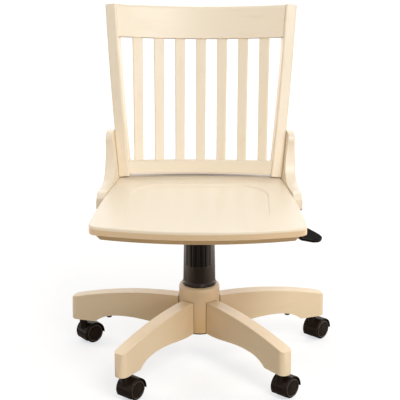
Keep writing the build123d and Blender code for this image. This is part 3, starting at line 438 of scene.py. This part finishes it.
def metal(name, colour, rough, metallic, stretch):
    """Bare or coated steel with drawn lines and a little tarnish."""
    mat, tree, shader, grain = start_material(name, stretch, **STEEL_GRAIN)
    tarnish = tuple(c * STEEL_TARNISH for c in colour)
    body = tint(tree, grain.outputs["Broad"], colour, tarnish, (-450, 200))
    wire(tree, body.outputs["Result"], shader.inputs["Base Color"])
    least, most = (rough * r for r in STEEL_ROUGH)
    dull = spread(tree, grain.outputs["Fine"], least, most, (-450, -200))
    wire(tree, dull, shader.inputs["Roughness"])
    shader.inputs["Metallic"].default_value = metallic
    relief(tree, shader, grain.outputs["Fine"], *STEEL_RELIEF)
    return mat


def cover(nodes, mat):
    """Gives CAD nodes a finish."""
    for name in nodes:
        slots = NODES[name].data.materials
        if not slots:
            slots.append(mat)
        for i in range(len(slots)):
            slots[i] = mat


def bake_nodes(name, tree, inputs):
    """Runs a Geometry Nodes tree once and returns its result as a plain mesh object."""
    carrier = bpy.data.objects.new(name + "_source", bpy.data.meshes.new(name + "_source"))
    bpy.context.scene.collection.objects.link(carrier)
    mod = carrier.modifiers.new("build", "NODES")
    mod.node_group = tree
    sockets = [s for s in tree.interface.items_tree if s.item_type == "SOCKET" and s.in_out == "INPUT"]
    ids = {s.name: s.identifier for s in sockets}
    for key, value in inputs.items():
        mod[ids[key]] = value
    graph = bpy.context.evaluated_depsgraph_get()
    mesh = bpy.data.meshes.new_from_object(carrier.evaluated_get(graph))
    mesh.name = name
    bpy.data.objects.remove(carrier)
    piece = bpy.data.objects.new(name, mesh)
    bpy.context.scene.collection.objects.link(piece)
    if not mesh.polygons:
        raise RuntimeError(name + " came out empty")
    mesh.polygons.foreach_set("use_smooth", [True] * len(mesh.polygons))
    return piece


def new_geometry_tree(name, sizes, finishes=("Finish",)):
    """A Geometry Nodes tree with an output, finishes and named sizes."""
    tree = bpy.data.node_groups.new(name, "GeometryNodeTree")
    face = tree.interface
    face.new_socket("Geometry", in_out="OUTPUT", socket_type="NodeSocketGeometry")
    for label, kind, default in sizes:
        face.new_socket(label, in_out="INPUT", socket_type=kind).default_value = default
    for label in finishes:
        face.new_socket(label, in_out="INPUT", socket_type="NodeSocketMaterial")
    return tree, node(tree, "NodeGroupInput", (-1200, 0)), node(tree, "NodeGroupOutput", (1200, 0))


def close_tree(tree, geometry, entry, leave, keep=None):
    """Ends a tree in Realize Instances and Set Material; faces with the finish called keep hold on to it."""
    real = node(tree, "GeometryNodeRealizeInstances", (800, 0))
    paint = node(tree, "GeometryNodeSetMaterial", (1000, 0))
    wire(tree, geometry, real.inputs["Geometry"])
    wire(tree, real.outputs["Geometry"], paint.inputs["Geometry"])
    wire(tree, entry.outputs["Finish"], paint.inputs["Material"])
    if keep:
        done = node(tree, "GeometryNodeMaterialSelection", (600, -200))
        rest = node(tree, "FunctionNodeBooleanMath", (800, -200), operation="NOT")
        wire(tree, entry.outputs[keep], done.inputs["Material"])
        wire(tree, done.outputs["Selection"], rest.inputs[0])
        wire(tree, rest.outputs["Boolean"], paint.inputs["Selection"])
    wire(tree, paint.outputs["Geometry"], leave.inputs["Geometry"])


def wheel_trim_tree():
    """Bead and axle cap for both faces of a twin wheel, then moved to its caster."""
    tree, entry, leave = new_geometry_tree(
        "wheel_trim",
        (("Bead Radius", "NodeSocketFloat", 0.02), ("Bead Thickness", "NodeSocketFloat", 0.0008),
         ("Cap Radius", "NodeSocketFloat", 0.007), ("Face", "NodeSocketFloat", 0.021),
         ("Place", "NodeSocketVector", (0, 0, 0)), ("Turn", "NodeSocketFloat", 0.0)),
        ("Finish", "Cap Finish"),
    )
    bead = node(tree, "GeometryNodeCurvePrimitiveCircle", (-900, 300))
    bead.inputs["Resolution"].default_value = BEAD_STEPS
    wire(tree, entry.outputs["Bead Radius"], bead.inputs["Radius"])
    section = node(tree, "GeometryNodeCurvePrimitiveCircle", (-900, 100))
    section.inputs["Resolution"].default_value = BEAD_SECTION_STEPS
    wire(tree, entry.outputs["Bead Thickness"], section.inputs["Radius"])
    tube = node(tree, "GeometryNodeCurveToMesh", (-650, 250))
    wire(tree, bead.outputs["Curve"], tube.inputs["Curve"])
    wire(tree, section.outputs["Curve"], tube.inputs["Profile Curve"])
    dome = node(tree, "GeometryNodeMeshUVSphere", (-900, -150))
    dome.inputs["Segments"].default_value = CAP_SEGMENTS
    dome.inputs["Rings"].default_value = CAP_RINGS
    wire(tree, entry.outputs["Cap Radius"], dome.inputs["Radius"])
    flat = node(tree, "GeometryNodeTransform", (-650, -150))
    flat.inputs["Scale"].default_value = (1, 1, CAP_FLAT)
    flat.inputs["Translation"].default_value = (0, 0, -CAP_SUNK)
    wire(tree, dome.outputs["Mesh"], flat.inputs["Geometry"])
    cap = node(tree, "GeometryNodeSetMaterial", (-500, -150))
    wire(tree, flat.outputs["Geometry"], cap.inputs["Geometry"])
    wire(tree, entry.outputs["Cap Finish"], cap.inputs["Material"])
    face = node(tree, "GeometryNodeJoinGeometry", (-400, 100))
    wire(tree, tube.outputs["Mesh"], face.inputs["Geometry"])
    wire(tree, cap.outputs["Geometry"], face.inputs["Geometry"])
    out = node(tree, "ShaderNodeCombineXYZ", (-400, -300))
    wire(tree, entry.outputs["Face"], out.inputs["Z"])
    both = node(tree, "GeometryNodeJoinGeometry", (200, 100))
    for turn in (math.pi / 2, -math.pi / 2):
        push = node(tree, "GeometryNodeTransform", (-200, 100))
        wire(tree, face.outputs["Geometry"], push.inputs["Geometry"])
        wire(tree, out.outputs["Vector"], push.inputs["Translation"])
        tip = node(tree, "GeometryNodeTransform", (0, 100))
        tip.inputs["Rotation"].default_value = (turn, 0, 0)
        wire(tree, push.outputs["Geometry"], tip.inputs["Geometry"])
        wire(tree, tip.outputs["Geometry"], both.inputs["Geometry"])
    spin = node(tree, "ShaderNodeCombineXYZ", (200, -300))
    wire(tree, entry.outputs["Turn"], spin.inputs["Z"])
    place = node(tree, "GeometryNodeTransform", (450, 0))
    wire(tree, both.outputs["Geometry"], place.inputs["Geometry"])
    wire(tree, entry.outputs["Place"], place.inputs["Translation"])
    wire(tree, spin.outputs["Vector"], place.inputs["Rotation"])
    close_tree(tree, place.outputs["Geometry"], entry, leave, keep="Cap Finish")
    return tree


def spring_tree():
    """A round wire wound into a coil."""
    tree, entry, leave = new_geometry_tree(
        "spring_coil",
        (("Turns", "NodeSocketFloat", 7.0), ("Radius", "NodeSocketFloat", 0.0175),
         ("Wire", "NodeSocketFloat", 0.002), ("Height", "NodeSocketFloat", 0.06),
         ("Place", "NodeSocketVector", (0, 0, 0))),
    )
    coil = node(tree, "GeometryNodeCurveSpiral", (-700, 200))
    coil.inputs["Resolution"].default_value = COIL_STEPS
    wire(tree, entry.outputs["Turns"], coil.inputs["Rotations"])
    wire(tree, entry.outputs["Radius"], coil.inputs["Start Radius"])
    wire(tree, entry.outputs["Radius"], coil.inputs["End Radius"])
    wire(tree, entry.outputs["Height"], coil.inputs["Height"])
    section = node(tree, "GeometryNodeCurvePrimitiveCircle", (-700, -100))
    section.inputs["Resolution"].default_value = WIRE_STEPS
    wire(tree, entry.outputs["Wire"], section.inputs["Radius"])
    tube = node(tree, "GeometryNodeCurveToMesh", (-400, 100))
    tube.inputs["Fill Caps"].default_value = True
    wire(tree, coil.outputs["Curve"], tube.inputs["Curve"])
    wire(tree, section.outputs["Curve"], tube.inputs["Profile Curve"])
    place = node(tree, "GeometryNodeTransform", (-100, 0))
    wire(tree, tube.outputs["Mesh"], place.inputs["Geometry"])
    wire(tree, entry.outputs["Place"], place.inputs["Translation"])
    close_tree(tree, place.outputs["Geometry"], entry, leave)
    return tree


class CHAIR_OT_paint_woodwork(bpy.types.Operator):
    """Paint seat, back, brackets, hub and legs"""

    bl_idname = "chair.paint_woodwork"
    bl_label = "Paint Woodwork"

    def execute(self, context):
        look = context.scene.chair_paint
        cream, base_shade_cream = tuple(look.cream), tuple(look.base_shade_cream)
        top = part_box("seat")[1][2]
        # the seat: painted shade on its front edge, its under bevel and its underside
        seat_shade = (raised(SEAT_EDGE, top), raised(SEAT_UNDERCUT, top))
        seat_paint = cream_paint("seat_cream", GRAIN_Y, cream, look, shade=seat_shade, pore=SEAT_PORE_GLAZE)
        cover(SEAT_BOARD, seat_paint)
        cover(UPRIGHT_WOOD, cream_paint("upright_cream", GRAIN_Z, cream, look))
        cover(CREST_WOOD, cream_paint("rail_cream", GRAIN_X, cream, look))
        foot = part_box("lower_rail")[0][2]
        # the lower rail: painted shade and a painted shadow line along its foot
        shade, seam_and_shadow_line = (raised(RAIL_SHADE, foot),), (raised(RAIL_SHADOW_LINE, foot),)
        cover(RAIL_WOOD, cream_paint("foot_cream", GRAIN_X, cream, look, shade=shade, seam_and_shadow_line=seam_and_shadow_line))
        cover(BRACKET_WOOD, cream_paint("bracket_cream", GRAIN_BRACKET, cream, look))
        # the hub: warmer cream and painted shade, darker towards the bottom
        cover(HUB_WOOD, cream_paint("hub_cream", GRAIN_Z, base_shade_cream, look, shade=(HUB_SHADE,)))
        # the legs: warmer cream and painted shade towards the hub; their seam is a dark joint at the hub
        for i in range(1, 6):
            x, y, _ = JOINTS[f"caster_{i}_swivel"]["pos_m"]
            turn = (0, 0, math.atan2(y, x))
            paint = cream_paint(
                f"leg_{i}_cream", GRAIN_X, base_shade_cream, look, turn, "distance", (LEG_SHADE,), (LEG_SEAM,)
            )
            cover((f"leg_{i}",), paint)
        return {"FINISHED"}


class CHAIR_OT_finish_column(bpy.types.Operator):
    """Finish the sleeve, covers, knob, paddle and bumper"""

    bl_idname = "chair.finish_column"
    bl_label = "Finish Column"

    def execute(self, context):
        trim = context.scene.chair_trim
        brown, black = tuple(trim.sleeve), tuple(trim.gloss)
        sleeve = moulded("sleeve_brown", brown, rough=0.18, fleck=1.5, bump=0.03, shine=0.20)
        knob = moulded("knob_gloss", black, rough=0.09, fleck=1.6, bump=0.02, shine=0.10)
        inner = moulded("inner_black", black, rough=0.13, fleck=1.6, bump=0.01, shine=0.03)
        rubber = moulded("bumper_rubber", (0.018, 0.018, 0.018), rough=0.75, fleck=1.8, bump=0.2, shine=0.2)
        cover(("lower_cover",), sleeve)
        cover(("tension_knob", "lever_paddle"), knob)
        cover(("upper_cover", "guide_bush"), inner)
        cover(("tilt_bumper",), rubber)
        return {"FINISHED"}


class CHAIR_OT_finish_steel(bpy.types.Operator):
    """Finish black and bright steel"""

    bl_idname = "chair.finish_steel"
    bl_label = "Finish Steel"

    def execute(self, context):
        coat = metal("black_coat", (0.022, 0.020, 0.019), rough=0.45, metallic=0.0, stretch=GRAIN_EVEN)
        zinc = metal("bright_zinc", (0.62, 0.61, 0.59), rough=0.28, metallic=1.0, stretch=GRAIN_ROUND)
        cover(BLACK_STEEL, coat)
        cover(BRIGHT_STEEL, zinc)
        return {"FINISHED"}


class CHAIR_OT_wind_spring(bpy.types.Operator):
    """Wind the tension spring as a coil of round wire in place of the CAD spring"""

    bl_idname = "chair.wind_spring"
    bl_label = "Wind Spring"

    def execute(self, context):
        trim = context.scene.chair_trim
        low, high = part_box("tension_spring")
        axis = [(a + b) / 2 for a, b in zip(low, high)]
        foot, head = low[2] + trim.spring_wire, high[2] - trim.spring_wire
        inputs = {
            "Turns": float(trim.spring_turns),
            "Radius": (high[0] - low[0]) / 2 - trim.spring_wire,
            "Wire": trim.spring_wire,
            "Height": head - foot,
            "Place": (axis[0], axis[1], foot),
            "Finish": metal("spring_zinc", (0.58, 0.57, 0.55), rough=0.30, metallic=1.0, stretch=GRAIN_EVEN),
        }
        piece = bake_nodes("tension_coil", spring_tree(), inputs)
        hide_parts("tension_spring")
        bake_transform(piece)
        return {"FINISHED"}


class CHAIR_OT_dress_casters(bpy.types.Operator):
    """Finish hoods and wheels and add beads and axle caps"""

    bl_idname = "chair.dress_casters"
    bl_label = "Dress Casters"

    def execute(self, context):
        trim = context.scene.chair_trim
        hood = moulded("hood_black", tuple(trim.caster), rough=0.15, fleck=1.6, bump=0.03, shine=0.10)
        tyre = moulded("wheel_black", tuple(trim.caster), rough=0.20, fleck=1.7, bump=0.04, shine=0.10)
        # lighter bead colour: partly the bead's own grey, partly a painted highlight along the rim
        bead = moulded("bead_black", tuple(trim.bead), rough=0.30, fleck=1.4, bump=0.03, shine=0.5)
        tree = wheel_trim_tree()
        for name in CASTERS:
            cover((f"{name}_hood",), hood)
            cover((f"{name}_wheels",), tyre)
            spin = JOINTS[f"{name}_spin"]
            inputs = {
                "Bead Radius": trim.bead_radius,
                "Bead Thickness": trim.bead_thick,
                "Cap Radius": trim.cap_radius,
                "Face": WHEEL_FACE,
                "Place": spin["pos_m"],
                "Turn": math.atan2(-spin["axis"][0], spin["axis"][1]),
                "Finish": bead,
                "Cap Finish": tyre,
            }
            piece = bake_nodes(f"{name}_trim", tree, inputs)
            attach(piece, f"{name}_roll")
        return {"FINISHED"}


def area_light(name, place, aim, size, power):
    """A soft rectangular lamp that looks at a point."""
    data = bpy.data.lights.new(name, "AREA")
    data.shape = "RECTANGLE"
    data.size, data.size_y = size
    data.energy = power
    lamp = bpy.data.objects.new(name, data)
    lamp.location = place
    lamp.rotation_mode = "QUATERNION"
    lamp.rotation_quaternion = (Vector(aim) - Vector(place)).to_track_quat("-Z", "Y")
    bpy.context.scene.collection.objects.link(lamp)


def seen_directly(tree):
    """1 for rays of the camera, of reflections and of glass, 0 for the light that surfaces pass on."""
    path = node(tree, "ShaderNodeLightPath", (-500, 400))
    first = node(tree, "ShaderNodeMath", (-300, 450), operation="MAXIMUM")
    second = node(tree, "ShaderNodeMath", (-150, 400), operation="MAXIMUM")
    wire(tree, path.outputs["Is Camera Ray"], first.inputs[0])
    wire(tree, path.outputs["Is Glossy Ray"], first.inputs[1])
    wire(tree, first.outputs["Value"], second.inputs[0])
    wire(tree, path.outputs["Is Transmission Ray"], second.inputs[1])
    return second.outputs["Value"]


def white_floor():
    """Pale floor, white to the camera; to reflections it is dark in front and glows bright at the sides, a
    painted reflection.
    """
    mat = bpy.data.materials.new("studio_floor")
    mat.use_nodes = True
    tree = mat.node_tree
    shader = tree.nodes["Principled BSDF"]
    shader.inputs["Base Color"].default_value = (*FLOOR_COLOUR, 1)
    shader.inputs["Roughness"].default_value = FLOOR_ROUGH
    shader.inputs["Specular IOR Level"].default_value = FLOOR_SHINE
    where = node(tree, "ShaderNodeTexCoord", (-700, -300))
    away = node(tree, "ShaderNodeVectorMath", (-500, -300), operation="LENGTH")
    split = node(tree, "ShaderNodeSeparateXYZ", (-500, -500))
    aside = node(tree, "ShaderNodeMath", (-350, -500), operation="ABSOLUTE")
    wire(tree, where.outputs["Object"], away.inputs[0])
    wire(tree, where.outputs["Object"], split.inputs["Vector"])
    wire(tree, split.outputs["X"], aside.inputs[0])
    path = node(tree, "ShaderNodeLightPath", (-200, -800))
    # reflections see the floor glow bright at the sides: a painted reflection
    mirrored = path.outputs["Is Glossy Ray"]
    power = node(tree, "ShaderNodeMix", (-50, -400), data_type="FLOAT")
    wire(tree, mirrored, power.inputs["Factor"])
    wire(tree, smooth_range(tree, away.outputs["Value"], FLOOR_GLOW, (-300, -300)), power.inputs["A"])
    wire(tree, smooth_range(tree, aside.outputs["Value"], FLOOR_REFLECTION_GLOW, (-200, -500)), power.inputs["B"])
    hue = tint(tree, mirrored, GLOW_COLOUR, REFLECTION_GLOW_COLOUR, (-50, -700))
    glow = node(tree, "ShaderNodeEmission", (100, -300))
    wire(tree, power.outputs["Result"], glow.inputs["Strength"])
    wire(tree, hue.outputs["Result"], glow.inputs["Color"])
    both = node(tree, "ShaderNodeAddShader", (250, -150))
    pick = node(tree, "ShaderNodeMixShader", (450, 0))
    leave = tree.nodes["Material Output"]
    wire(tree, shader.outputs["BSDF"], both.inputs[0])
    wire(tree, glow.outputs["Emission"], both.inputs[1])
    wire(tree, seen_directly(tree), pick.inputs["Fac"])
    wire(tree, shader.outputs["BSDF"], pick.inputs[1])
    wire(tree, both.outputs["Shader"], pick.inputs[2])
    wire(tree, pick.outputs["Shader"], leave.inputs["Surface"])
    mesh = bpy.data.meshes.new("studio_floor")
    corners = [(x * FLOOR_HALF, y * FLOOR_HALF, 0) for x, y in ((-1, -1), (1, -1), (1, 1), (-1, 1))]
    mesh.from_pydata(corners, [], [(0, 1, 2, 3)])
    mesh.materials.append(mat)
    floor = bpy.data.objects.new("studio_floor", mesh)
    floor.location = (0, 0, -FLOOR_DROP)
    bpy.context.scene.collection.objects.link(floor)


def white_world():
    """Even white surroundings; the camera and reflections see plain white."""
    world = bpy.data.worlds.new("studio_world")
    world.use_nodes = True
    tree = world.node_tree
    back = tree.nodes["Background"]
    back.inputs["Color"].default_value = (1, 1, 1, 1)
    back.inputs["Strength"].default_value = WORLD_LIGHT
    seen = node(tree, "ShaderNodeBackground", (0, -200))
    seen.inputs["Color"].default_value = (1, 1, 1, 1)
    seen.inputs["Strength"].default_value = 1.0
    pick = node(tree, "ShaderNodeMixShader", (250, 0))
    wire(tree, seen_directly(tree), pick.inputs["Fac"])
    wire(tree, back.outputs["Background"], pick.inputs[1])
    wire(tree, seen.outputs["Background"], pick.inputs[2])
    wire(tree, pick.outputs["Shader"], tree.nodes["World Output"].inputs["Surface"])
    bpy.context.scene.world = world


class CHAIR_OT_set_stage(bpy.types.Operator):
    """Set up floor, light, world and camera"""

    bl_idname = "chair.set_stage"
    bl_label = "Set Stage"

    def execute(self, context):
        studio = context.scene.chair_studio
        white_floor()
        white_world()
        for name, place, aim, size, power in LAMPS:
            area_light(name, place, aim, size, getattr(studio, power))
        data = bpy.data.cameras.new("photo_camera")
        data.lens = studio.lens
        data.sensor_width = SENSOR_WIDTH
        data.shift_x = CAMERA_SHIFT
        camera = bpy.data.objects.new("photo_camera", data)
        camera.location = Matrix.Rotation(studio.azimuth, 3, "Z") @ Vector(studio.eye)
        camera.rotation_euler = (math.pi / 2 - studio.pitch, 0, studio.azimuth)
        context.scene.collection.objects.link(camera)
        context.scene.camera = camera
        context.scene.view_settings.view_transform = "Standard"
        return {"FINISHED"}


OPERATORS = (
    CHAIR_OT_paint_woodwork,
    CHAIR_OT_finish_column,
    CHAIR_OT_finish_steel,
    CHAIR_OT_wind_spring,
    CHAIR_OT_dress_casters,
    CHAIR_OT_set_stage,
)
GROUPS = {"chair_paint": ChairPaint, "chair_trim": ChairTrim, "chair_studio": ChairStudio}


class CHAIR_PT_sidebar(bpy.types.Panel):
    """Lists the chair's sizes, colours and steps"""

    bl_idname = "CHAIR_PT_sidebar"
    bl_label = "Wooden Swivel Chair"
    bl_space_type = "VIEW_3D"
    bl_region_type = "UI"
    bl_category = "Chair"

    def draw(self, context):
        for key in GROUPS:
            group = getattr(context.scene, key)
            box = self.layout.box()
            for prop in group.bl_rna.properties:
                if prop.identifier not in ("rna_type", "name"):
                    box.prop(group, prop.identifier)
        for op in OPERATORS:
            self.layout.operator(op.bl_idname)


def register():
    """Registers the settings, the steps and the panel."""
    for key, group in GROUPS.items():
        bpy.utils.register_class(group)
        setattr(bpy.types.Scene, key, bpy.props.PointerProperty(type=group))
    for op in OPERATORS:
        bpy.utils.register_class(op)
    bpy.utils.register_class(CHAIR_PT_sidebar)


def unregister():
    """Takes them all out again."""
    bpy.utils.unregister_class(CHAIR_PT_sidebar)
    for op in reversed(OPERATORS):
        bpy.utils.unregister_class(op)
    for key, group in reversed(GROUPS.items()):
        delattr(bpy.types.Scene, key)
        bpy.utils.unregister_class(group)


def main():
    """Builds the looks in order."""
    register()
    bpy.ops.chair.paint_woodwork()
    bpy.ops.chair.finish_column()
    bpy.ops.chair.finish_steel()
    bpy.ops.chair.wind_spring()
    bpy.ops.chair.dress_casters()
    bpy.ops.chair.set_stage()


if __name__ == "__main__":
    main()
